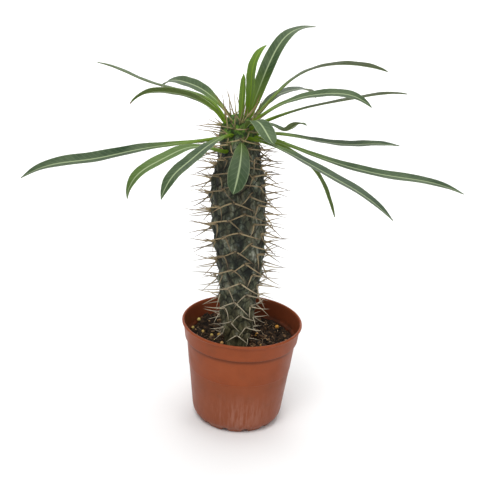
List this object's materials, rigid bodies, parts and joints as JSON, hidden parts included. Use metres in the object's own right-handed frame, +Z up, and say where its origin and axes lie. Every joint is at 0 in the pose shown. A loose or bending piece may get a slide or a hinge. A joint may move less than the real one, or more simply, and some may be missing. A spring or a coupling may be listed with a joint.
{
  "type": "madagascar palm in its nursery pot",
  "caption": "Potted madagascar palm: a thick spiny grey-green stem with a crown of long narrow leaves, in a round terracotta-coloured plastic nursery pot.",
  "frame": {"origin": "centre of the pot's foot, on the surface that the pot stands on", "axes": "+Z up, -Y towards the front of the picture, +X to the picture's right"},
  "size_m": [0.4122, 0.2673, 0.3866],
  "materials": {
    "pot_plastic": "semi-matt moulded plastic with pale scuffs",
    "peat": "loose dark peat with bark chips",
    "bark": "dull grey-green succulent skin with tan spines",
    "leaf": "smooth leathery leaf with a pale midrib",
    "young_leaf": "smooth bright green young leaf"
  },
  "bodies": {
    "root": {"pot": "pot_plastic", "soil": "peat", "stem": "bark", "leaf_01": "leaf", "leaf_02": "leaf", "leaf_03": "leaf", "leaf_04": "leaf", "leaf_05": "leaf", "leaf_06": "leaf", "leaf_07": "young_leaf", "leaf_08": "young_leaf", "leaf_09": "young_leaf", "leaf_10": "leaf", "leaf_11": "leaf", "leaf_12": "leaf", "leaf_13": "leaf", "leaf_14": "leaf", "leaf_15": "leaf", "leaf_16": "leaf", "leaf_17": "leaf", "leaf_18": "leaf", "leaf_19": "leaf", "leaf_20": "leaf", "leaf_21": "leaf", "leaf_22": "leaf"}
  },
  "joints": []
}
